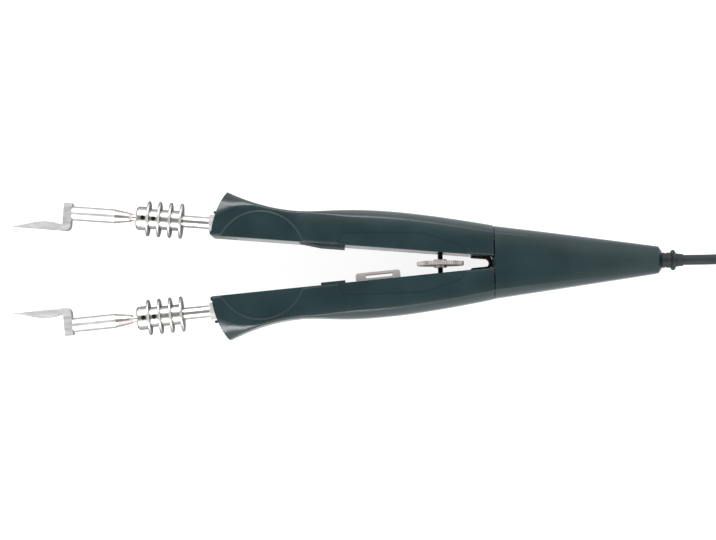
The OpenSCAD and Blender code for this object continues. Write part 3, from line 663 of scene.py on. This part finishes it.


# Wires that cross the hinge: the right side's, from the arm to the terminal board

WIRE_R = 0.5
WIRE_SIDES = 10
WIRES = [
    [
        (-9.24, 9.14, 12.9),
        (-1.5, 8.1, 12.45),
        (3.5, 1.6, 12.4),
        (13, 1.4, 12.3),
        (16.5, 1.4, 10),
        (18, 1.4, 10),
    ],
    [
        (-9.13, 10.34, 12.9),
        (-1.5, 9.3, 13.35),
        (3.5, 3.1, 13.5),
        (13, 3.1, 12.3),
        (16.5, 3.2, 10),
        (18, 3.2, 10),
    ],
]


def make_wires(name, side):
    points, faces = [], []
    for wire in WIRES:
        route = [Vector(p) for p in wire]
        faces += tube_faces(len(route), WIRE_SIDES, len(points))
        for i, place in enumerate(route):
            ahead = (route[min(i + 1, len(route) - 1)] - route[max(i - 1, 0)]).normalized()
            across = Vector((-ahead.y, ahead.x, 0)).normalized()
            up = ahead.cross(across)
            ring = []
            for k in range(WIRE_SIDES):
                angle = 2 * math.pi * k / WIRE_SIDES
                x, y, z = place + WIRE_R * (across * math.cos(angle) + up * math.sin(angle))
                ring.append((x, side * y, z))
            points += ring[::side]
    return make_mesh(name, points, faces, LOOKS["wire"])


for word, side in (("right", 1), ("left", -1)):
    half, bend_x = make_spring_half(word + "_spring_half", side)
    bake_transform(half)
    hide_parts("spreader_spring")
    wires = make_wires(word + "_wires", side)
    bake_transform(wires)
    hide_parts(word + "_jumpers")


# Stage: a white floor, a bright surround that is darker overhead, and a soft lamp on each side

FLOOR_SIZE = 6
FLOOR_Z = -0.2 * MM
PAPER = 0.4
# The floor's own glow as the camera sees it, and as reflections show it. Under the heads the
# second one fades out along X, which leaves their round pieces with dark edges.
SEEN_GLOW = 0.86
MIRRORED_GLOW = 0.55
FADE_X = (-115 * MM, -85 * MM)


def make_floor():
    bpy.ops.mesh.primitive_plane_add(size=FLOOR_SIZE, location=(0, 0, FLOOR_Z))
    floor = bpy.context.object
    floor.name = "floor"
    made = bpy.data.materials.new("floor")
    made.use_nodes = True
    tree = made.node_tree
    tree.nodes.clear()
    out = tree.nodes.new("ShaderNodeOutputMaterial")
    both = tree.nodes.new("ShaderNodeAddShader")
    paper = tree.nodes.new("ShaderNodeBsdfDiffuse")
    paper.inputs["Color"].default_value = (PAPER, PAPER, PAPER, 1)
    glow = tree.nodes.new("ShaderNodeEmission")
    rays = tree.nodes.new("ShaderNodeLightPath")
    fading = tree.nodes.new("ShaderNodeMapRange")
    fading.inputs["From Min"].default_value = FADE_X[0]
    fading.inputs["From Max"].default_value = FADE_X[1]
    fading.inputs["To Max"].default_value = MIRRORED_GLOW
    tree.links.new(object_x(tree), fading.inputs["Value"])
    mirrored = fading.outputs["Result"]
    seen = add_math(tree, "MULTIPLY", rays.outputs["Is Camera Ray"], SEEN_GLOW)
    glowing = add_math(tree, "MULTIPLY_ADD", rays.outputs["Is Glossy Ray"], mirrored, seen)
    tree.links.new(glowing, glow.inputs["Strength"])
    tree.links.new(paper.outputs[0], both.inputs[0])
    tree.links.new(glow.outputs[0], both.inputs[1])
    tree.links.new(both.outputs[0], out.inputs["Surface"])
    floor.data.materials.append(made)


SURROUND = 1.0
OVERHEAD = 0.26
# Height in the surround, from 0 at the horizon to 1 straight above, over which it darkens
OVERHEAD_FROM = 0.86
OVERHEAD_TO = 0.95


def make_surround():
    world = bpy.data.worlds.new("surround")
    bpy.context.scene.world = world
    world.use_nodes = True
    tree = world.node_tree
    background = tree.nodes["Background"]
    place = tree.nodes.new("ShaderNodeTexCoord")
    split = tree.nodes.new("ShaderNodeSeparateXYZ")
    ramp = tree.nodes.new("ShaderNodeValToRGB")
    bright, dim = ramp.color_ramp.elements
    bright.position = OVERHEAD_FROM
    bright.color = (1, 1, 1, 1)
    dim.position = OVERHEAD_TO
    dim.color = (OVERHEAD, OVERHEAD, OVERHEAD, 1)
    tree.links.new(place.outputs["Generated"], split.inputs[0])
    tree.links.new(split.outputs["Z"], ramp.inputs["Fac"])
    tree.links.new(ramp.outputs["Color"], background.inputs["Color"])
    background.inputs["Strength"].default_value = SURROUND


# The lamps' places and power, in metres and watts
LAMPS = {
    "key": ((-0.28, -0.68, 0.46), 4.5),
    "fill": ((-0.2, 0.66, 0.48), 3),
}
LAMP_TARGET = (-0.05, 0, 0)
LAMP_SIZE = 0.5


def make_lamp(name, place, power):
    data = bpy.data.lights.new(name, "AREA")
    data.size = LAMP_SIZE
    data.energy = power
    lamp = bpy.data.objects.new(name, data)
    bpy.context.scene.collection.objects.link(lamp)
    aim = Vector(LAMP_TARGET) - Vector(place)
    turn = aim.to_track_quat("-Z", "Y").to_matrix().to_4x4()
    lamp.matrix_world = Matrix.Translation(place) @ turn


make_floor()
make_surround()
for name, (place, power) in LAMPS.items():
    make_lamp(name, place, power)

scene = bpy.context.scene
scene.view_settings.view_transform = "Standard"
scene.view_settings.look = "None"
